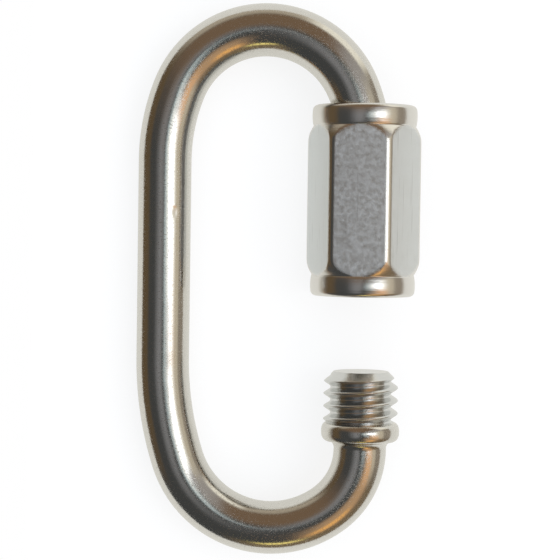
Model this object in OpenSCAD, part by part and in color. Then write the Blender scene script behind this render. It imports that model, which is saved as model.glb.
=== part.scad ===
// Chain quick link: one bent steel bar with a threaded stud at each end, and a hexagon sleeve nut that
// runs from the upper stud across the gate to the lower one. The link lies on its side as it would on
// a bench, resting along the plain leg and along one corner of the nut, with the nut fully open.
// Sizes are in millimetres. X runs across the loop, Y along it and Z up.

/* [Bar] */
// Diameter of the bent bar
bar_d = 4.1; // [3.6:0.1:4.5]
// Clear width inside the loop, from bar to bar
inside_w = 11.4; // [10:0.1:13]

/* [Upper bend] */
// Bend radius next to the upper stud
upper_gate_r = 12; // [10:0.5:14]
// Angle turned at that radius
upper_gate_a = 23; // [22:1:32]
// Bend radius next to the plain leg
upper_leg_r = 15.5; // [14:0.5:24]
// Angle turned at that radius
upper_leg_a = 21; // [10:1:26]

/* [Lower bend] */
// Bend radius next to the lower stud
lower_gate_r = 5.9; // [4.5:0.1:7]
// Angle turned at that radius
lower_gate_a = 53; // [40:1:65]
// Bend radius next to the plain leg
lower_leg_r = 25.5; // [16:0.5:32]
// Angle turned at that radius
lower_leg_a = 18; // [10:1:26]

/* [Thread] */
// Outside diameter of the thread
thread_d = 5.88; // [5.5:0.02:6.4]
// Rise of the thread in one turn
pitch = 1; // [0.8:0.05:1.25]
// Length of thread on the lower stud, above its stop collar
lower_thread_l = 3.95; // [3:0.05:6]
// Flat end of each stud, across
tip_d = 4.3; // [3.8:0.1:4.6]
// Taper of the upper thread where it runs out into the bar, beyond the bar on each side
run_out = 0.2; // [0.1:0.05:0.5]
// Turn of the whole thread about the studs' axis
thread_turn = 45; // [0:5:355]

/* [Stop collar] */
// Diameter of the collar that the closed nut meets
collar_d = 6.1; // [5.9:0.1:7]
// Length of that collar
collar_l = 1.5; // [1.2:0.1:2.5]
// Rounding of the collar's edges
collar_edge_r = 0.5; // [0.2:0.05:0.55]
// Straight bar between the collar and the lower bend
neck_l = 0.65; // [0.6:0.05:2]
// Hollow rounding between the collar and that bar
neck_r = 0.65; // [0.3:0.05:0.65]

/* [Nut] */
// Length of the nut
nut_l = 14.8; // [13:0.05:18]
// Distance across the nut's flats
nut_flats_w = 7.92; // [7.6:0.02:8.6]
// Diameter that the nut's corners are turned down to
nut_corner_d = 9.06; // [8.8:0.02:9.1]
// Diameter of the round rim at each end of the nut
rim_d = 8.15; // [8:0.05:8.6]
// Length of each rim
rim_l = 1.6; // [1.2:0.1:2.2]
// Rounding of the rims' outer edges
rim_edge_r = 0.4; // [0.2:0.05:0.5]
// Length over which the corners fall away to each rim
shoulder_l = 1.9; // [1.4:0.1:2.6]
// Bevel at each mouth of the bore
mouth_bevel = 0.4; // [0.2:0.05:0.5]
// Turn of the nut about its axis, between its top flat and level
nut_turn = 16; // [6:1:24]

/* [Fits] */
// Opening between the nut and the lower stud's tip
gate_gap = 5.9; // [4.5:0.1:8]
// Gap all round between the thread and the nut's bore
bore_gap = 0.08; // [0.05:0.01:0.12]
// Gap left between the nut's bore and the bend when the nut is fully open
bend_gap = 0.4; // [0.25:0.01:0.5]
// How far the upper stud's tip sits inside the open nut
tip_cover = 0.4; // [0:0.1:1.5]

/* [Hidden] */
$fn = 64;
steel = "silver";

// The outer arcs of each bend are this much slimmer in radius, and reach this far into the bar beside them,
// so that each joint of the bar is a true overlap
hair = 0.01;
join_l = 0.2;
// Steps in a rounded corner of a turned profile
arc_steps = 8;
// Angle that the hollow below the stop collar rises through
neck_a = 60;

bar_r = bar_d / 2;
leg_pitch = inside_w + bar_d;

// A bend is three arcs that meet without a kink: [gate arc, crown radius, leg arc]. An outer arc is
// [radius, angle], and the crown takes up what the two of them leave of the pitch
function set_in(outer) = outer[0] * (1 - cos(outer[1]));
function bend(by_gate, by_leg) =
    let (crown_w = leg_pitch - set_in(by_gate) - set_in(by_leg))
    [by_gate, crown_w / (cos(by_gate[1]) + cos(by_leg[1])), by_leg];
// Height from the start of a bend to its crown, measured on the gate side and on the leg side
function rise(outer, crown_r) = outer[0] * sin(outer[1]) + crown_r * (1 - sin(outer[1]));
function gate_rise(b) = rise(b[0], b[1]);
function leg_rise(b) = rise(b[2], b[1]);

upper = bend([upper_gate_r, upper_gate_a], [upper_leg_r, upper_leg_a]);
lower = bend([lower_gate_r, lower_gate_a], [lower_leg_r, lower_leg_a]);

// The open nut rides up on to the upper bend until the leaning bar is bend_gap from its bore
bore_r = thread_d / 2 + bore_gap;
lean_room = bore_r - bend_gap;
lean_square = pow(upper_gate_r - lean_room, 2) + 4 * upper_gate_r * bar_r;
lean_cos = (upper_gate_r - lean_room + sqrt(lean_square)) / (2 * upper_gate_r);
nut_on_bend = upper_gate_r * sin(acos(lean_cos));

// Heights along the gate side, counted up from the stop collar's upper face
lower_tip = lower_thread_l;
nut_low = lower_tip + gate_gap;
upper_tip = nut_low + tip_cover;
nut_high = nut_low + nut_l;
upper_start = nut_high - nut_on_bend;
lower_start = -collar_l - neck_l;
loop_high = upper_start + gate_rise(upper);
loop_low = lower_start - gate_rise(lower);
loop_mid = (loop_high + loop_low) / 2;

// The nut touches the bench with the corner that lies nearest to straight down
corner_r = nut_corner_d / 2;
corner_half_a = 30 - acos(nut_flats_w / nut_corner_d);
nut_under = corner_r * cos(max(0, 30 - nut_turn - corner_half_a));
nut_beside = corner_r * cos(max(0, nut_turn - corner_half_a));
tilt = asin((nut_under - bar_r) / leg_pitch);

// Thread profile over one pitch, in steps of the turn: root, rising flank, crest and falling flank
thread_n = 32;
profile_at = [0, 6, 17, 21];
flank_steps = 11;
thread_r = thread_d / 2;
root_r = thread_r - pitch * flank_steps / thread_n / tan(30);
// A row this close to the end of a stud is left out
row_gap = pitch / 100;
// The helix starts below the lower stud, and both studs lie on it
turns_below = 2;

function thread_z(i, j) = pitch * (floor(i / 4) - turns_below + (profile_at[i % 4] + j) / thread_n);
function inner_rows(j, z0, z1) =
    [for (i = [0:4 * (ceil(z1 / pitch) + turns_below)])
        if (thread_z(i, j) > z0 + row_gap && thread_z(i, j) < z1 - row_gap) i];

// Points of an arc in a turned profile
function arc(x, y, r, from, to) =
    [for (k = [0:arc_steps]) let (a = from + (to - from) * k / arc_steps) [x + r * cos(a), y + r * sin(a)]];

// Stands what is drawn along Z on the gate side, with Z = 0 at the stop collar's upper face
module on_gate() {
    translate([leg_pitch / 2, -loop_mid, 0])
        rotate([-90, 0, 0])
            children();
}

// Lays the loop on the bench, with the middle of its box over the origin
module lay_down() {
    translate([(bar_r - nut_beside) / 2, 0, (bar_r + nut_under) / 2])
        rotate([0, -tilt, 0])
            children();
}

// One length of helical thread from z0 to z1, tapered at 45 degrees to radius r0 and r1 at its flat ends
module thread(z0, z1, r0, r1) {
    spans = [for (j = [0:thread_n - 1])
        let (rows = inner_rows(j, z0, z1)) [rows[0] - 1, rows[len(rows) - 1] + 1]];
    row_count = max([for (s = spans) s[1]]) + 1;
    points = [for (j = [0:thread_n - 1])
        for (i = [0:row_count - 1])
            let (z = i <= spans[j][0] ? z0 : i >= spans[j][1] ? z1 : thread_z(i, j))
            let (r = min(i % 4 < 2 ? root_r : thread_r, r0 + z - z0, r1 + z1 - z))
            [r * cos(360 * j / thread_n), r * sin(360 * j / thread_n), z]];
    // One turn on, the rows meet those four higher
    function at(i, j) = j == thread_n ? at(i + 4, 0)
        : j * row_count + min(max(i, spans[j][0]), spans[j][1]);
    sides = [for (j = [0:thread_n - 1])
        for (i = [-4:row_count - 1])
            let (a = at(i, j), b = at(i, j + 1), c = at(i + 1, j + 1), d = at(i + 1, j))
            for (t = [[a, c, b], [a, d, c]])
                if (t[0] != t[1] && t[1] != t[2] && t[2] != t[0]) t];
    low_end = [for (j = [0:thread_n - 1]) at(0, j)];
    high_end = [for (j = [thread_n - 1:-1:0]) at(row_count - 1, j)];
    rotate([0, 0, -thread_turn])
        polyhedron(points, concat([low_end, high_end], sides));
}

// One arc, [radius, angle], of the bar that turns clockwise from a point and heading in the loop's plane
module bar_arc(start, heading, turn, slim) {
    r = turn[0];
    a = turn[1];
    over = slim ? join_l / r * 180 / PI : 0;
    centre = start + r * [sin(heading), -cos(heading)];
    translate([centre[0], centre[1], 0])
        rotate([0, 0, heading + 90 - a - over])
            rotate_extrude(angle = a + 2 * over)
                translate([r, 0])
                    circle(bar_r - (slim ? hair : 0));
}

// Where an arc that turns clockwise ends
function arc_end(start, heading, turn) =
    let (after = heading - turn[1])
    start + turn[0] * ([sin(heading), -cos(heading)] - [sin(after), -cos(after)]);

// A whole bend, entered down the gate side of the lower bend or up the leg side of the upper one
module bar_bend(start, heading, first, crown_r, last) {
    crown = [crown_r, 180 - first[1] - last[1]];
    crown_heading = heading - first[1];
    crown_start = arc_end(start, heading, first);
    bar_arc(start, heading, first, true);
    bar_arc(crown_start, crown_heading, crown, false);
    bar_arc(arc_end(crown_start, crown_heading, crown), crown_heading - crown[1], last, true);
}

module straight_bar(x, y0, y1) {
    translate([x, y0, 0])
        rotate([-90, 0, 0])
            cylinder(h = y1 - y0, r = bar_r);
}

// The turned collar at the root of the lower stud, filled in hollow to the bar below it
module stop_collar() {
    r = collar_d / 2;
    e = collar_edge_r;
    hollow_y = -collar_l - neck_r * sin(neck_a);
    rotate_extrude()
        polygon(concat(
            [[0, hollow_y]],
            arc(bar_r + neck_r, hollow_y, neck_r, 180, 180 - neck_a),
            arc(r - e, e - collar_l, e, -90, 0),
            arc(r - e, -e, e, 0, 90),
            [[0, 0]]
        ));
}

module link_body() {
    leg_low = loop_low + leg_rise(lower) - loop_mid;
    leg_high = loop_high - leg_rise(upper) - loop_mid;
    gate_x = leg_pitch / 2;
    color(steel)
        lay_down() {
            on_gate() {
                stop_collar();
                thread(-collar_l / 2, lower_tip, root_r - collar_l / 4, tip_d / 2);
                thread(upper_tip, upper_start - join_l, tip_d / 2, bar_r + run_out);
            }
            straight_bar(gate_x, lower_start - loop_mid, -collar_l / 2 - loop_mid);
            bar_bend([gate_x, lower_start - loop_mid], -90, lower[0], lower[1], lower[2]);
            straight_bar(-gate_x, leg_low, leg_high);
            bar_bend([-gate_x, leg_high], 90, upper[2], upper[1], upper[0]);
            straight_bar(gate_x, upper_start - pitch - loop_mid, upper_start - loop_mid);
        }
}

module nut_hexagon() {
    cylinder(h = nut_l, r = nut_flats_w / 2 / cos(30), center = true, $fn = 6);
}

// Turned outline that the hexagon is cut back to: full at the corners, falling in an arc towards each rim
module nut_barrel() {
    flat_half_l = nut_l / 2 - rim_l - shoulder_l;
    drop = corner_r - nut_flats_w / 2;
    fall_r = (drop * drop + shoulder_l * shoulder_l) / (2 * drop);
    fall_a = asin(shoulder_l / fall_r);
    rotate_extrude()
        polygon(concat(
            [[0, -flat_half_l - shoulder_l]],
            arc(corner_r - fall_r, -flat_half_l, fall_r, -fall_a, 0),
            arc(corner_r - fall_r, flat_half_l, fall_r, 0, fall_a),
            [[0, flat_half_l + shoulder_l]]
        ));
}

// The plain round length of the nut, which shows as a rim at each end, with its bore and bevelled mouths
module nut_rims() {
    r = rim_d / 2;
    e = rim_edge_r;
    rotate_extrude()
        polygon(concat(
            [[0, -nut_l / 2]],
            arc(r - e, e - nut_l / 2, e, -90, 0),
            [[r, rim_l - nut_l / 2], [bore_r, rim_l - nut_l / 2]],
            [[bore_r, nut_l / 2 - rim_l], [r, nut_l / 2 - rim_l]],
            arc(r - e, nut_l / 2 - e, e, 0, 90),
            [[0, nut_l / 2]]
        ));
}

module nut_bore() {
    past = 1;
    cylinder(h = nut_l + 2 * past, r = bore_r, center = true);
    for (side = [0, 1])
        mirror([0, 0, side])
            translate([0, 0, nut_l / 2 - mouth_bevel])
                cylinder(h = mouth_bevel + past, r1 = bore_r, r2 = bore_r + mouth_bevel + past);
}

module sleeve_nut() {
    color(steel)
        lay_down()
            on_gate()
                translate([0, 0, (nut_low + nut_high) / 2])
                    rotate([0, 0, tilt - nut_turn])
                        difference() {
                            union() {
                                intersection() {
                                    nut_hexagon();
                                    nut_barrel();
                                }
                                nut_rims();
                            }
                            nut_bore();
                        }
}

link_body();
sleeve_nut();
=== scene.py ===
"""The looks of a chain quick link: a bent stainless bar with a thread at each end, and a hexagon sleeve nut.

Lengths are in metres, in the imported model's frame: X across the loop, Y along it, Z up. The link lies on its
side, so its loop has axes of its own: ACROSS, from the plain leg to the gate, ALONG, which is Y, and FACING,
square to both, towards the camera.
"""

from math import atan2, cos, pi, radians, sin, tan

import bpy
import numpy as np
from mathutils import Matrix, Vector


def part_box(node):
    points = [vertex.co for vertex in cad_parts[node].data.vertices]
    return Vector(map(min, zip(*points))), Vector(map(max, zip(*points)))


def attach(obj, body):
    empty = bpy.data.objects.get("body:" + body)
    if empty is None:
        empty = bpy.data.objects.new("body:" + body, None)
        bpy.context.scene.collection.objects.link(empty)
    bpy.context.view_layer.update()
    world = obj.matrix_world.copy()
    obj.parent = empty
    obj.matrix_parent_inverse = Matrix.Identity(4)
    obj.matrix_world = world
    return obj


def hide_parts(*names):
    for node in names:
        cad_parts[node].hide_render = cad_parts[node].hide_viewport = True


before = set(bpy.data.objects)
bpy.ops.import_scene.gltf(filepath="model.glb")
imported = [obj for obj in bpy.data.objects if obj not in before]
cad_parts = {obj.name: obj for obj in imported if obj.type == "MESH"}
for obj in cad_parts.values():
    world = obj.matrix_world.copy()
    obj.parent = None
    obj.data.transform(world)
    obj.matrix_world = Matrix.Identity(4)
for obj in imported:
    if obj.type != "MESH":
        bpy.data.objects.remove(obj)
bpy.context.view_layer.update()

MM = 0.001

# Bar
BAR_R = 2.05 * MM

# Bends: radius and angle of the arc beside the gate, then of the arc beside the plain leg
UPPER_BEND = (12 * MM, radians(23), 15.5 * MM, radians(21))
LOWER_BEND = (5.9 * MM, radians(53), 25.5 * MM, radians(18))

# Thread: crest and flank are lengths along the stud, its start is in turns and its wear in shares of a flank
THREAD_R = 2.94 * MM
PITCH = 1 * MM
FLANK_L = 11 / 32 * PITCH
CREST_L = 4 / 32 * PITCH
FLANK_A = radians(30)
ROOT_R = THREAD_R - FLANK_L / tan(FLANK_A)
THREAD_START = 0.28
THREAD_WORN = 0.22
LOWER_THREAD_L = 3.95 * MM
TIP_R = 2.15 * MM
TIP_COVER = 0.4 * MM
RUN_OUT = 0.2 * MM

# Stop collar: the arch is the power by which its side curves, from 2 for a circle to more for a flatter side
COLLAR_R = 3.05 * MM
COLLAR_L = 1.5 * MM
COLLAR_EDGE_R = 0.5 * MM
COLLAR_ARCH = 2.5
NECK_L = 0.65 * MM
NECK_R = 0.65 * MM
NECK_A = radians(60)
NECK_RISE = NECK_R * sin(NECK_A)

# Nick in the plain leg: place along the loop, turn round the bar, half sizes and depth, then the place of
# the lip beside it, in half lengths, and how steeply the lip falls off
NICK_ALONG = 5.15 * MM
NICK_TURN = radians(117)
NICK_L = 0.45 * MM
NICK_W = 0.2 * MM
NICK_DEPTH = 0.03 * MM
LIP_OFF = 1.3
LIP_FALL = 6

# Nut: the skin depth is how far below a flat its satin skin ends, and the rim is a barrel
NUT_FLAT_R = 3.96 * MM
NUT_CORNER_R = 4.53 * MM
NUT_EDGE_R = 0.75 * MM
FLAT_CROWN = 0.04 * MM
SKIN_DEPTH = 0.015 * MM
NUT_TURN = radians(16)
RIM_R = 4.075 * MM
RIM_L = 1.6 * MM
RIM_EDGE_R = 0.4 * MM
RIM_BARREL = 0.08 * MM
SHOULDER_L = 1.9 * MM
MOUTH_BEVEL = 0.4 * MM
BORE_R = 3.02 * MM
GROOVE_DEPTH = 0.35 * MM
GROOVE_STEEP = 1.3

# Softening of the edges where two turned or pressed faces meet
EDGE_SOFT = 0.05 * MM

# Camera: from the loop's middle to the point under the lens, the point in the middle of the picture, its
# distance, the roll of the picture, and how many of its pixels a millimetre of the loop takes
LENS_OVER = (1.35 * MM, 4.7 * MM)
AIM_OVER = (1.32 * MM, -0.01 * MM)
CAMERA_D = 142 * MM
CAMERA_ROLL = radians(0.83)
PIXELS_PER_MM = 12.83
PICTURE_W = 560
SENSOR_W = 36

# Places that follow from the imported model
nut_low, nut_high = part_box("sleeve_nut")
bar_low, bar_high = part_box("link_body")
gate = (nut_low + nut_high) / 2
leg = Vector((bar_low.x + BAR_R, 0, bar_low.z + BAR_R))
gate_from_leg = Vector((gate.x - leg.x, 0, gate.z - leg.z))
LEG_PITCH = gate_from_leg.length
ACROSS = gate_from_leg.normalized()
ALONG = Vector((0, 1, 0))
FACING = ACROSS.cross(ALONG)
LOOP_MIDDLE = leg + gate_from_leg / 2


# Meshes

def soft_lower(a, b, width):
    """The lower of a and b, rounded over a width where they cross: half of a + b, less half the root of a - b
    squared and the width squared."""
    return (a + b - np.sqrt((a - b) ** 2 + width ** 2)) / 2


def soft_higher(a, b, width):
    """The higher of a and b, rounded over a width where they cross, by the same root added."""
    return (a + b + np.sqrt((a - b) ** 2 + width ** 2)) / 2


def grid_quads(rows, columns, rows_close):
    """The quads of a grid whose columns close into a ring, and whose rows do so too if rows_close is true."""
    row = np.arange(rows if rows_close else rows - 1)[:, None]
    column = np.arange(columns)[None, :]
    next_row = (row + 1) % rows
    next_column = (column + 1) % columns
    corners = [
        row * columns + column,
        next_row * columns + column,
        next_row * columns + next_column,
        row * columns + next_column,
    ]
    return np.stack(corners, -1).reshape(-1, 4)


def mesh_piece(name, points, faces, attributes, material):
    """One smooth-shaded object from an array of points, a list of faces and its point attributes."""
    mesh = bpy.data.meshes.new(name)
    mesh.from_pydata(points, [], faces)
    mesh.polygons.foreach_set("use_smooth", np.ones(len(mesh.polygons), bool))
    for attribute_name, (kind, field, values) in attributes.items():
        attribute = mesh.attributes.new(attribute_name, kind, "POINT")
        attribute.data.foreach_set(field, np.asarray(values, np.float32).ravel())
    mesh.validate()
    mesh.materials.append(material)
    piece = bpy.data.objects.new(name, mesh)
    bpy.context.scene.collection.objects.link(piece)
    return piece


# The bent bar

def crown_r(bend):
    """Radius of the arc over a bend's crown: what the outer arcs leave of the leg pitch, over the sum of the
    cosines of their angles."""
    gate_r, gate_a, leg_r, leg_a = bend
    set_in = gate_r * (1 - cos(gate_a)) + leg_r * (1 - cos(leg_a))
    return (LEG_PITCH - set_in) / (cos(gate_a) + cos(leg_a))


def rise(r, a, crown):
    """Height from the start of an outer arc to the crown."""
    return r * sin(a) + crown * (1 - sin(a))


def bar_route():
    """The bar's centreline as lengths that each bend evenly: (length, turn clockwise per metre). It goes from
    the lower stud's tip down, round the lower bend, up the leg, round the upper bend and down to the upper
    stud's tip. Also gives the heights of the lower tip, the collar's top and the upper stud's start."""
    upper_crown = crown_r(UPPER_BEND)
    lower_crown = crown_r(LOWER_BEND)
    loop_high = bar_high.y - BAR_R
    loop_low = bar_low.y + BAR_R
    upper_start = loop_high - rise(*UPPER_BEND[:2], upper_crown)
    lower_start = loop_low + rise(*LOWER_BEND[:2], lower_crown)
    leg_high = loop_high - rise(*UPPER_BEND[2:], upper_crown)
    leg_low = loop_low + rise(*LOWER_BEND[2:], lower_crown)
    collar_top = lower_start + NECK_L + COLLAR_L
    lower_tip = collar_top + LOWER_THREAD_L
    upper_tip = nut_low.y + TIP_COVER
    arcs_down = [LOWER_BEND[:2], (lower_crown, pi - LOWER_BEND[1] - LOWER_BEND[3]), LOWER_BEND[2:]]
    arcs_up = [UPPER_BEND[2:], (upper_crown, pi - UPPER_BEND[1] - UPPER_BEND[3]), UPPER_BEND[:2]]
    route = [(lower_tip - lower_start, 0)]
    route += [(r * a, 1 / r) for r, a in arcs_down]
    route += [(leg_high - leg_low, 0)]
    route += [(r * a, 1 / r) for r, a in arcs_up]
    route += [(upper_start - upper_tip, 0)]
    return route, lower_tip, collar_top, upper_start


def arc_end(length, angle):
    """How far ahead and to the right an evenly bent length ends, for the angle a that it turns by:
    length sin(a) / a and length (1 - cos(a)) / a."""
    ahead = length * np.sinc(angle / pi)
    right = length * angle / 2 * np.sinc(angle / 2 / pi) ** 2
    return ahead, right


def follow(route, start, heading, stations):
    """Points and headings at stations along a route. The first loop finds where each stretch begins, and the
    rest places every station on its stretch."""
    at = np.array(start)
    begins = [(at, heading)]
    for length, turn in route:
        angle = turn * length
        ahead, right = arc_end(length, angle)
        forward = np.array([cos(heading), sin(heading)])
        sideways = np.array([sin(heading), -cos(heading)])
        at = at + ahead * forward + right * sideways
        heading = heading - angle
        begins.append((at, heading))
    begun = np.concatenate([[0], np.cumsum([length for length, _ in route])])
    part = np.clip(np.searchsorted(begun, stations, "right") - 1, 0, len(route) - 1)
    length = stations - begun[part]
    angle = length * np.array([turn for _, turn in route])[part]
    head = np.array([h for _, h in begins])[part]
    origin = np.array([p for p, _ in begins])[part]
    ahead, right = arc_end(length, angle)
    forward = np.stack([np.cos(head), np.sin(head)], -1)
    sideways = np.stack([np.sin(head), -np.cos(head)], -1)
    return origin + ahead[:, None] * forward + right[:, None] * sideways, head - angle


def thread_radius(height, turn):
    """Radius of the helical thread: a crest, two straight flanks and a root, worn round where they meet,
    which climb one pitch a turn. height is above the stop collar and turn is the angle round the stud."""
    turns = -height / PITCH - turn / (2 * pi) - THREAD_START
    from_crest = np.abs(turns - np.round(turns)) * PITCH
    up_flank = (CREST_L / 2 + FLANK_L - from_crest) / FLANK_L
    from_root = np.sqrt(up_flank ** 2 + THREAD_WORN ** 2)
    from_top = np.sqrt((up_flank - 1) ** 2 + THREAD_WORN ** 2)
    climbed = (from_root - from_top + 1) / 2
    return ROOT_R + (THREAD_R - ROOT_R) * climbed


def collar_radius(height):
    """Radius of the stop collar, a barrel that falls to both edges along an arch of power COLLAR_ARCH, of the
    hollow arc that rises to it from the bar below, and of the bar elsewhere."""
    from_edge = np.minimum(-height, height + COLLAR_L)
    off_middle = np.clip(1 - from_edge / (COLLAR_L / 2), 0, 1)
    collar = COLLAR_R - COLLAR_EDGE_R + COLLAR_EDGE_R * np.sqrt(1 - off_middle ** COLLAR_ARCH)
    into_neck = np.clip(NECK_RISE + height + COLLAR_L, 0, NECK_RISE)
    neck = BAR_R + NECK_R - np.sqrt(NECK_R ** 2 - into_neck ** 2)
    return np.where(from_edge >= 0, collar, np.where(height < 0, neck, BAR_R))


def bent_bar(material):
    """The bar as a radius that varies along and round its centreline: point = centre + r (cos t left + sin t
    FACING). The radius is the bar's, with the two threads and their bevelled tips, the stop collar and a
    nick."""
    route, lower_tip, collar_top, upper_start = bar_route()
    whole = sum(length for length, _ in route)
    lower_stud = route[0][0]
    upper_stud = route[-1][0]
    leg_from = sum(length for length, _ in route[:4])
    leg_low = bar_low.y + BAR_R + rise(*LOWER_BEND[2:], crown_r(LOWER_BEND))
    nick_at = leg_from + NICK_ALONG - leg_low

    # Rows, closest together on the threads, the collar and the nick
    thread_step = PITCH / 32
    collar_step = 0.035 * MM
    bend_step = 0.33 * MM
    nick_step = 0.05 * MM
    nick_reach = 3 * NICK_L
    collar_from = LOWER_THREAD_L - PITCH / 4
    stations = np.unique(np.concatenate([
        np.arange(0, collar_from, thread_step),
        np.arange(collar_from, lower_stud, collar_step),
        np.arange(lower_stud, whole - upper_stud, bend_step),
        np.arange(nick_at - nick_reach, nick_at + nick_reach, nick_step),
        np.arange(whole - upper_stud, whole, thread_step),
        [whole],
    ]))
    columns = 96
    turn = np.arange(columns) / columns * 2 * pi
    station = stations[:, None]

    lower_height = LOWER_THREAD_L - station
    upper_height = upper_start - collar_top - (station - (whole - upper_stud))
    lower = soft_lower(thread_radius(lower_height, turn), TIP_R + station, EDGE_SOFT)
    upper = soft_lower(thread_radius(upper_height, turn), TIP_R + whole - station, EDGE_SOFT)
    upper = soft_lower(upper, BAR_R + RUN_OUT + station - (whole - upper_stud), EDGE_SOFT)
    radius = np.where(station < lower_stud, collar_radius(lower_height), BAR_R) + 0 * turn
    radius = np.where(station < LOWER_THREAD_L + COLLAR_L / 2, np.maximum(lower, radius), radius)
    radius = np.where(station < LOWER_THREAD_L, lower, radius)
    radius = np.where(station > whole - upper_stud, upper, radius)

    # The nick is a hollow with a raised lip on its upper side
    off_along = (station - nick_at) / NICK_L
    off_round = (turn - NICK_TURN) * BAR_R / NICK_W
    hollow = np.exp(-off_along ** 2 - off_round ** 2)
    lip = np.exp(-(off_along - LIP_OFF) ** 2 * LIP_FALL - off_round ** 2)
    radius = radius - NICK_DEPTH * hollow + NICK_DEPTH / 2 * lip

    # Flat ends: rings that close in on each tip's middle
    ring_share = np.array([0.3, 0.6, 0.85, 0.97])
    rings = TIP_R * ring_share[:, None] + 0 * turn
    stations = np.concatenate([np.zeros(len(rings)), stations, np.full(len(rings), whole)])
    radius = np.concatenate([rings, radius, rings[::-1]])

    gate_start = np.array([LEG_PITCH / 2, lower_tip])
    centre, heading = follow(route, gate_start, -pi / 2, stations)
    across, along, facing = (np.array(axis) for axis in (ACROSS, ALONG, FACING))
    left = -np.sin(heading)[:, None] * across + np.cos(heading)[:, None] * along
    middle = np.array(LOOP_MIDDLE) + centre[:, :1] * across + centre[:, 1:] * along
    spoke = np.cos(turn)[None, :, None] * left[:, None, :] + np.sin(turn)[None, :, None] * facing
    points = middle[:, None, :] + radius[..., None] * spoke
    straightened = np.stack([
        stations[:, None] + 0 * radius,
        radius * np.cos(turn),
        radius * np.sin(turn),
    ], -1)

    # Faces, and a fan that closes each tip round a point of its own
    rows = len(stations)
    tips = middle[[0, -1]]
    straight_tips = np.array([[0, 0, 0], [whole, 0, 0]])
    ring = np.arange(columns)
    next_ring = np.roll(ring, -1)
    last = (rows - 1) * columns
    first_fan = np.stack([np.full(columns, rows * columns), ring, next_ring], -1)
    last_fan = np.stack([np.full(columns, rows * columns + 1), last + next_ring, last + ring], -1)
    quads = grid_quads(rows, columns, False)[:, ::-1]
    faces = quads.tolist() + first_fan[:, ::-1].tolist() + last_fan[:, ::-1].tolist()
    points = np.concatenate([points.reshape(-1, 3), tips])
    straightened = np.concatenate([straightened.reshape(-1, 3), straight_tips])
    on_thread = (stations < LOWER_THREAD_L) | (stations > whole - upper_stud)
    thread_share = np.concatenate([np.repeat(on_thread, columns), [1, 1]])
    attributes = {
        "straightened": ("FLOAT_VECTOR", "vector", straightened),
        "thread_share": ("FLOAT", "value", thread_share),
    }
    return mesh_piece("bent_bar", points, faces, attributes, material)


# The sleeve nut

def hexagon_radius(turn):
    """Radius of a hexagon with round corners at an angle from the middle of a flat: flat / cos(angle) up to
    the end of the flat, then a circle whose middle lies on the line to the corner. The flats are a little
    crowned: they fall by FLAT_CROWN, with the square of the way out, to their ends. Also gives the flats'
    own radius."""
    middle_r = (NUT_FLAT_R - NUT_EDGE_R) / cos(pi / 6)
    flat_end = atan2((NUT_FLAT_R - NUT_EDGE_R) * tan(pi / 6), NUT_FLAT_R)
    from_flat = np.abs((turn + pi / 6) % (pi / 3) - pi / 6)
    from_corner = pi / 6 - from_flat
    beside = np.minimum(middle_r * np.sin(from_corner), NUT_EDGE_R)
    corner = middle_r * np.cos(from_corner) + np.sqrt(NUT_EDGE_R ** 2 - beside ** 2)
    crown = FLAT_CROWN * np.minimum(np.tan(from_flat) / tan(flat_end), 1) ** 2
    flat = NUT_FLAT_R / np.cos(from_flat) - crown
    return np.where(from_flat < flat_end, flat, corner - crown), flat


def barrel_radius(height, half_l):
    """Radius that the nut is turned down to: full along the middle, then an arc that falls to the flats'
    depth where each rim begins."""
    drop = NUT_CORNER_R - NUT_FLAT_R
    fall_r = (drop ** 2 + SHOULDER_L ** 2) / (2 * drop)
    past = np.clip(np.abs(height) - (half_l - RIM_L - SHOULDER_L), 0, SHOULDER_L)
    return NUT_CORNER_R - fall_r + np.sqrt(fall_r ** 2 - past ** 2)


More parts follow.
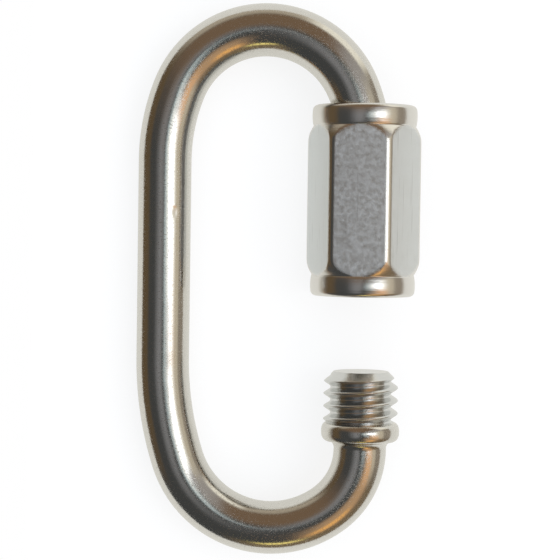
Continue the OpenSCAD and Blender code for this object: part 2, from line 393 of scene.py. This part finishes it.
def sleeve_nut(material):
    """The nut as a closed ring of rows: down its bore, over the lower mouth and end face, up its outside and
    back over the upper end. The outside's radius is the hexagon or the barrel, whichever is lower, or the
    rim. Each of the six sectors has its own columns, closest together round the corner."""
    half_l = (nut_high.y - nut_low.y) / 2
    corner_share = 0.2
    flat_columns = 12
    corner_columns = 20
    bore_count = 180
    edge_count = 9
    middle_count = 24
    shoulder_count = 28
    rim_root_count = 16
    rim_count = 8
    rim_root_l = 0.2 * MM
    sector = np.concatenate([
        np.linspace(-1, 1, flat_columns, endpoint=False) * (1 - corner_share),
        1 - corner_share + np.linspace(0, 2, corner_columns, endpoint=False) * corner_share,
    ]) * pi / 6
    flat_turn = (sector + np.arange(6)[:, None] * pi / 3).ravel()
    turn = flat_turn + NUT_TURN + pi / 6

    # The outside, with rows closest together over the shoulders and the rims' edges
    bore_rows = np.linspace(half_l - MOUTH_BEVEL, MOUTH_BEVEL - half_l, bore_count)
    edge_turn = np.linspace(0, pi / 2, edge_count)
    rim_from = half_l - RIM_L
    shoulder_from = rim_from - SHOULDER_L
    side = np.concatenate([
        np.linspace(0, shoulder_from, middle_count, endpoint=False),
        np.linspace(shoulder_from, rim_from - rim_root_l, shoulder_count, endpoint=False),
        np.linspace(rim_from - rim_root_l, rim_from + rim_root_l, rim_root_count, endpoint=False),
        np.linspace(rim_from + rim_root_l, half_l - RIM_EDGE_R, rim_count, endpoint=False),
    ])
    outside = np.concatenate([-side[:0:-1], side])
    height = outside[:, None]
    hexagon, flat = hexagon_radius(flat_turn)
    body = soft_lower(hexagon, barrel_radius(height, half_l), EDGE_SOFT)
    rim_shows = 1 / (1 + np.exp(-(np.abs(height) - rim_from) / (EDGE_SOFT / 2)))
    off_rim_middle = (np.abs(height) - (half_l - RIM_L / 2)) / (RIM_L / 2)
    rim = RIM_R - RIM_BARREL * off_rim_middle ** 2
    outer = body + (soft_higher(body, rim, EDGE_SOFT) - body) * rim_shows
    outer = np.minimum(outer, NUT_CORNER_R)

    # The bore with its helical groove, and the turned ends: bevel, face and rounded edge
    groove_turns = bore_rows[:, None] / PITCH - turn / (2 * pi)
    groove = np.abs(groove_turns - np.round(groove_turns)) * 2
    bore = BORE_R + GROOVE_DEPTH * np.clip(GROOVE_STEEP * (groove - 1) + 1, 0, 1)
    mouth_r = BORE_R + MOUTH_BEVEL
    face_r = np.array([mouth_r, mouth_r + EDGE_SOFT, RIM_R - RIM_EDGE_R - 2 * EDGE_SOFT])
    edge_from = RIM_R - RIM_BARREL * (1 - RIM_EDGE_R / (RIM_L / 2)) ** 2
    edge_r = edge_from - RIM_EDGE_R + RIM_EDGE_R * np.sin(edge_turn)
    edge_y = half_l - RIM_EDGE_R + RIM_EDGE_R * np.cos(edge_turn)
    end_r = np.concatenate([face_r, edge_r])
    end_y = np.concatenate([np.full(len(face_r), half_l), edge_y])

    plain = 0 * turn
    radius = np.concatenate([bore, end_r[:, None] + plain, outer, end_r[::-1, None] + plain])
    height = np.concatenate([bore_rows, -end_y, outside, end_y[::-1]])
    points = np.stack([
        gate.x + radius * np.cos(turn),
        gate.y + height[:, None] + plain,
        gate.z + radius * np.sin(turn),
    ], -1)

    # How much of a flat each point lies on: none on the rims, the shoulders, the corners and the bore
    on_flat = np.exp(-((outer - flat) / SKIN_DEPTH) ** 2) * (1 - rim_shows)
    no_flat = 0 * end_r[:, None] + plain
    flat_share = np.concatenate([0 * bore, no_flat, on_flat, no_flat])

    faces = grid_quads(len(height), len(turn), True).tolist()
    attributes = {"flat_share": ("FLOAT", "value", flat_share)}
    return mesh_piece("sleeve_nut_steel", points.reshape(-1, 3), faces, attributes, material)


# Materials

def linear(code, strength=1):
    """A colour socket's value from an sRGB hex code, times a strength."""
    shares = [int(code[i:i + 2], 16) / 255 for i in (1, 3, 5)]
    return (*[strength * (s / 12.92 if s <= 0.04045 else ((s + 0.055) / 1.055) ** 2.4) for s in shares], 1)


def add_node(tree, kind, sockets=None, **settings):
    """Adds one node with its settings. sockets gives, by input name or number, a value or an output that is
    linked to it."""
    node = tree.nodes.new(kind)
    for name, value in settings.items():
        setattr(node, name, value)
    for key, value in (sockets or {}).items():
        if isinstance(value, bpy.types.NodeSocket):
            tree.links.new(value, node.inputs[key])
        else:
            node.inputs[key].default_value = value
    return node


def new_material(name):
    """An empty node material with a metal shader on its output. Gives the material, its tree and its
    shader."""
    material = bpy.data.materials.new(name)
    material.use_nodes = True
    tree = material.node_tree
    tree.nodes.clear()
    shader = add_node(tree, "ShaderNodeBsdfPrincipled", {"Metallic": 1})
    add_node(tree, "ShaderNodeOutputMaterial", {"Surface": shader.outputs["BSDF"]})
    return material, tree, shader


def tumbled_stainless():
    """Stainless bar, drawn, bent and tumbled bright: clear reflections with a soft edge, fine lines along the
    bar from drawing it, and a grain from the tumbling stones, whose frosted specks sparkle where the steel is
    dark. The rolled threads are evenly smooth and a little less warm."""
    # The real specks and lines are finer, and are drawn this coarse so that they show
    speck = 0.1 * MM
    speck_depth = 0.0005 * MM
    draw_line = 0.16 * MM
    draw_line_depth = 0.002 * MM
    draw_line_stretch = (0.03, 1, 1)
    wave = 2.5 * MM
    wave_depth = 0.015 * MM
    clear_rough = 0.14
    frosted_rough = 0.34
    thread_rough = 0.2
    material, tree, shader = new_material("tumbled_stainless")
    place = add_node(tree, "ShaderNodeTexCoord").outputs["Object"]
    straight = add_node(tree, "ShaderNodeAttribute", attribute_name="straightened").outputs["Vector"]
    thread = add_node(tree, "ShaderNodeAttribute", attribute_name="thread_share").outputs["Fac"]
    grain = add_node(tree, "ShaderNodeTexNoise", {"Vector": place, "Scale": 1 / speck, "Detail": 1})
    waves = add_node(tree, "ShaderNodeTexNoise", {"Vector": place, "Scale": 1 / wave, "Detail": 1})
    stretched = add_node(tree, "ShaderNodeMapping", {"Vector": straight, "Scale": draw_line_stretch})
    lines = add_node(
        tree, "ShaderNodeTexNoise", {"Vector": stretched.outputs[0], "Scale": 1 / draw_line, "Detail": 1})
    wavy = add_node(
        tree, "ShaderNodeBump", {"Height": waves.outputs["Fac"], "Strength": 1, "Distance": wave_depth})
    lined = add_node(tree, "ShaderNodeBump", {
        "Height": lines.outputs["Fac"], "Strength": 1, "Distance": draw_line_depth,
        "Normal": wavy.outputs[0]})
    dented = add_node(tree, "ShaderNodeBump", {
        "Height": grain.outputs["Fac"], "Strength": 1, "Distance": speck_depth, "Normal": lined.outputs[0]})
    frosted = add_node(tree, "ShaderNodeMapRange", {
        "Value": grain.outputs["Fac"], "From Min": 0.46, "From Max": 0.74,
        "To Min": clear_rough, "To Max": frosted_rough}, interpolation_type="SMOOTHSTEP")
    rough = add_node(tree, "ShaderNodeMix", {0: thread, 2: frosted.outputs[0], 3: thread_rough})
    tint = add_node(tree, "ShaderNodeMix", {
        0: thread, 6: linear("#dad8d3"), 7: linear("#d9dad9")}, data_type="RGBA")
    tree.links.new(tint.outputs[2], shader.inputs["Base Color"])
    tree.links.new(rough.outputs[0], shader.inputs["Roughness"])
    tree.links.new(dented.outputs[0], shader.inputs["Normal"])
    return material


def machined_stainless():
    """Stainless hexagon bar, turned at its ends: the rims show faint rings from the tool, and the flats keep
    the drawn bar's satin skin, which is paler, clouded and scratched along the nut and scatters a little
    light."""
    # The real grit, scratches and rings are finer, and are drawn this coarse so that they show
    cloud = 0.32 * MM
    grit = 0.14 * MM
    grit_depth = 0.003 * MM
    scratch = 0.15 * MM
    scratch_stretch = (1, 0.03, 1)
    scratch_shows = 0.35
    tool_mark = 0.16 * MM
    tool_mark_depth = 0.006 * MM
    tool_mark_stretch = (0.02, 1, 0.02)
    turned_rough = 0.22
    skin_rough = (0.4, 0.48)
    skin_scatter = (0.04, 0.18)
    material, tree, shader = new_material("machined_stainless")
    place = add_node(tree, "ShaderNodeTexCoord").outputs["Object"]
    flat = add_node(tree, "ShaderNodeAttribute", attribute_name="flat_share").outputs["Fac"]
    clouds = add_node(tree, "ShaderNodeTexNoise", {"Vector": place, "Scale": 1 / cloud, "Detail": 2})
    grits = add_node(tree, "ShaderNodeTexNoise", {"Vector": place, "Scale": 1 / grit, "Detail": 2})
    stretched = add_node(tree, "ShaderNodeMapping", {"Vector": place, "Scale": scratch_stretch})
    scratches = add_node(
        tree, "ShaderNodeTexNoise", {"Vector": stretched.outputs[0], "Scale": 1 / scratch, "Detail": 1})
    wrapped = add_node(tree, "ShaderNodeMapping", {"Vector": place, "Scale": tool_mark_stretch})
    tool_marks = add_node(
        tree, "ShaderNodeTexNoise", {"Vector": wrapped.outputs[0], "Scale": 1 / tool_mark, "Detail": 1})
    turned = add_node(tree, "ShaderNodeMath", {0: 1, 1: flat}, operation="SUBTRACT")
    ringed = add_node(tree, "ShaderNodeBump", {
        "Height": tool_marks.outputs["Fac"], "Strength": turned.outputs[0], "Distance": tool_mark_depth})
    gritty = add_node(tree, "ShaderNodeBump", {
        "Height": grits.outputs["Fac"], "Strength": 1, "Distance": grit_depth, "Normal": ringed.outputs[0]})
    satin = add_node(tree, "ShaderNodeMapRange", {
        "Value": grits.outputs["Fac"], "From Min": 0.35, "From Max": 0.65,
        "To Min": skin_rough[0], "To Max": skin_rough[1]})
    rough = add_node(tree, "ShaderNodeMix", {0: flat, 2: turned_rough, 3: satin.outputs[0]})
    scatter = add_node(tree, "ShaderNodeMapRange", {
        "Value": clouds.outputs["Fac"], "From Min": 0.3, "From Max": 0.7,
        "To Min": skin_scatter[0], "To Max": skin_scatter[1]})
    shine = add_node(tree, "ShaderNodeMath", {0: 1, 1: scatter.outputs[0]}, operation="SUBTRACT")
    metal = add_node(tree, "ShaderNodeMix", {0: flat, 2: 1, 3: shine.outputs[0]})
    worn = add_node(tree, "ShaderNodeMapRange", {
        "Value": scratches.outputs["Fac"], "From Min": 0.67, "From Max": 0.77,
        "To Min": 0, "To Max": scratch_shows})
    scored = add_node(tree, "ShaderNodeMix", {
        0: worn.outputs[0], 6: linear("#e6eaeb"), 7: linear("#9c9c9a")}, data_type="RGBA")
    tint = add_node(tree, "ShaderNodeMix", {
        0: flat, 6: linear("#e2e0dc"), 7: scored.outputs[2]}, data_type="RGBA")
    tree.links.new(tint.outputs[2], shader.inputs["Base Color"])
    tree.links.new(metal.outputs[0], shader.inputs["Metallic"])
    tree.links.new(rough.outputs[0], shader.inputs["Roughness"])
    tree.links.new(gritty.outputs[0], shader.inputs["Normal"])
    return material


# Stage, light and camera

def white_paper():
    """A plain sheet of white paper under the link. The camera sees it white, and the metal nearly so. A share
    of it is lit, and keeps the link's shadow. It ends close by on the left, where the leg shows the dark
    studio past its edge."""
    lit_share = 0.2
    shown_in_steel = "#eae8df"
    left = -19 * MM
    reach = 0.4
    mesh = bpy.data.meshes.new("paper")
    corners = [(left, -reach, 0), (reach, -reach, 0), (reach, reach, 0), (left, reach, 0)]
    mesh.from_pydata(corners, [], [(0, 1, 2, 3)])
    material = bpy.data.materials.new("white_paper")
    material.use_nodes = True
    tree = material.node_tree
    tree.nodes.clear()
    path = add_node(tree, "ShaderNodeLightPath")
    mirrored = add_node(tree, "ShaderNodeMath", {
        0: path.outputs["Is Glossy Ray"], 1: path.outputs["Is Transmission Ray"]}, operation="MAXIMUM")
    seen = add_node(tree, "ShaderNodeMath", {
        0: path.outputs["Is Camera Ray"], 1: mirrored.outputs[0]}, operation="MAXIMUM")
    share = add_node(tree, "ShaderNodeMath", {0: seen.outputs[0], 1: 1 - lit_share}, operation="MULTIPLY")
    paper = add_node(tree, "ShaderNodeBsdfDiffuse", {"Color": linear("#fbfbfa")})
    tone = add_node(tree, "ShaderNodeMix", {
        0: path.outputs["Is Camera Ray"], 6: linear(shown_in_steel), 7: (1, 1, 1, 1)}, data_type="RGBA")
    white = add_node(tree, "ShaderNodeEmission", {"Color": tone.outputs[2], "Strength": 1})
    both = add_node(tree, "ShaderNodeMixShader", {
        0: share.outputs[0], 1: paper.outputs[0], 2: white.outputs[0]})
    add_node(tree, "ShaderNodeOutputMaterial", {"Surface": both.outputs[0]})
    mesh.materials.append(material)
    sheet = bpy.data.objects.new("paper", mesh)
    bpy.context.scene.collection.objects.link(sheet)


def paper_lamp():
    """Soft daylight from straight above, even all over the paper. It doesn't show in the steel."""
    data = bpy.data.lights.new("daylight", "SUN")
    data.angle = radians(110)
    data.energy = 3
    data.color = linear("#e9f3ff")[:3]
    lamp = bpy.data.objects.new("daylight", data)
    lamp.visible_glossy = False
    bpy.context.scene.collection.objects.link(lamp)


# The studio that the steel reflects, as cards round FACING, each laid over those before it. A card has the
# direction of its middle, from ACROSS towards ALONG, its half width and the softness of its sides, then the
# angles from FACING between which it lies and the softness of its ends, all in degrees. Its colour is as the
# steel shows it, and the last value is how many times brighter it is than that. STEEL_SHOWS is the share of
# the light that the steel gives back
STEEL_SHOWS = 0.69
CEILING = "#3a3b3b"
CARDS = [
    ("grey, by the camera", 172, 66, 34, 0, 27, 14, "#767678", 1),
    ("brown, above", 92, 54, 28, 14, 72, 12, "#685543", 1),
    ("grey-brown, low above", 85, 60, 30, 71, 110, 6, "#9a9080", 1),
    ("dark brown, at the left", 172, 32, 14, 66, 112, 7, "#544633", 1),
    ("dark tan, low below", -64, 40, 10, 68, 110, 5, "#695b47", 1),
    ("tan, below", -38, 34, 12, 27, 66, 10, "#a38566", 1),
    ("gold strip", -60, 9, 7, 50, 64, 5, "#e0a862", 1),
    ("olive strip", -86, 8, 6, 65, 71, 3, "#b8aa66", 2.2),
    ("grey, at the upper right", 30, 16, 12, 22, 72, 10, "#8d8986", 1),
    ("cream, low at the upper right", 50, 16, 8, 69, 110, 5, "#dedacd", 1),
    ("beige, at the right", 0, 22, 10, 44, 74, 6, "#b0a795", 1),
    ("grey-brown, low at the right", 0, 22, 10, 74, 110, 6, "#7f766a", 1),
    ("copper strip", -19, 10, 6, 33, 55, 7, "#cba078", 1),
    ("haze round the softbox", 0, 28, 22, 0, 18, 12, "#b2c1c5", 1),
    ("softbox", 3, 10, 6, 11, 49, 8, "#fbfbf6", 1.1),
    ("lamp in the softbox", 3, 7, 5, 22, 40, 7, "#f4f8ff", 2.4),
]


def studio_light():
    """The world: each card is laid over the ceiling with a mask, the product of a step across its width, on
    the cosine of the direction from its middle, and of two steps on the angle from FACING. The camera sees
    plain white behind the link instead."""
    world = bpy.data.worlds.new("studio")
    bpy.context.scene.world = world
    world.use_nodes = True
    tree = world.node_tree
    tree.nodes.clear()
    ray = add_node(tree, "ShaderNodeTexCoord").outputs["Generated"]
    towards = add_node(tree, "ShaderNodeVectorMath", {0: ray, 1: FACING}, operation="DOT_PRODUCT")
    angle = add_node(
        tree, "ShaderNodeMath", {0: towards.outputs["Value"]}, operation="ARCCOSINE").outputs[0]
    sideways = add_node(tree, "ShaderNodeMath", {0: angle}, operation="SINE").outputs[0]
    colour = linear(CEILING, 1 / STEEL_SHOWS)
    for _, middle, half_w, side_soft, inner, outer, end_soft, code, strength in CARDS:
        heading = ACROSS * cos(radians(middle)) + ALONG * sin(radians(middle))
        reach = add_node(tree, "ShaderNodeVectorMath", {0: ray, 1: heading}, operation="DOT_PRODUCT")
        cosine = add_node(
            tree, "ShaderNodeMath", {0: reach.outputs["Value"], 1: sideways}, operation="DIVIDE")
        steps = [
            (cosine.outputs[0], cos(radians(half_w + side_soft)), cos(radians(half_w - side_soft)), 0, 1),
            (angle, radians(inner - end_soft), radians(inner + end_soft), 0, 1),
            (angle, radians(outer - end_soft), radians(outer + end_soft), 1, 0),
        ]
        mask = 1
        for value, low, high, start, end in steps:
            step = add_node(tree, "ShaderNodeMapRange", {
                "Value": value, "From Min": low, "From Max": high, "To Min": start, "To Max": end},
                interpolation_type="SMOOTHSTEP")
            mask = add_node(
                tree, "ShaderNodeMath", {0: mask, 1: step.outputs[0]}, operation="MULTIPLY").outputs[0]
        colour = add_node(tree, "ShaderNodeMix", {
            0: mask, 6: colour, 7: linear(code, strength / STEEL_SHOWS)}, data_type="RGBA").outputs[2]
    lit = add_node(tree, "ShaderNodeBackground", {"Color": colour, "Strength": 1})
    white = add_node(tree, "ShaderNodeBackground", {"Color": (1, 1, 1, 1), "Strength": 1})
    path = add_node(tree, "ShaderNodeLightPath")
    both = add_node(tree, "ShaderNodeMixShader", {
        0: path.outputs["Is Camera Ray"], 1: lit.outputs[0], 2: white.outputs[0]})
    add_node(tree, "ShaderNodeOutputWorld", {"Surface": both.outputs[0]})


def photo_camera():
    """A camera over the loop: it looks from a point above LENS_OVER to AIM_OVER, rolled a little, with a lens
    that gives PIXELS_PER_MM at its distance."""
    data = bpy.data.cameras.new("camera")
    data.sensor_width = SENSOR_W
    data.lens = PIXELS_PER_MM / MM * SENSOR_W * CAMERA_D / PICTURE_W
    data.clip_start = 0.01
    lens = LOOP_MIDDLE + ACROSS * LENS_OVER[0] + ALONG * LENS_OVER[1] + FACING * CAMERA_D
    aim = LOOP_MIDDLE + ACROSS * AIM_OVER[0] + ALONG * AIM_OVER[1]
    back = (lens - aim).normalized()
    upright = ALONG * cos(CAMERA_ROLL) - ACROSS * sin(CAMERA_ROLL)
    right = upright.cross(back).normalized()
    up = back.cross(right)
    camera = bpy.data.objects.new("camera", data)
    camera.matrix_world = Matrix.Translation(lens) @ Matrix((right, up, back)).transposed().to_4x4()
    bpy.context.scene.collection.objects.link(camera)
    bpy.context.scene.camera = camera


bar = bent_bar(tumbled_stainless())
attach(bar, "link")
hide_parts("link_body")

nut = sleeve_nut(machined_stainless())
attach(nut, "nut")
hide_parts("sleeve_nut")

white_paper()
paper_lamp()
studio_light()
photo_camera()
bpy.context.scene.view_settings.view_transform = "Standard"
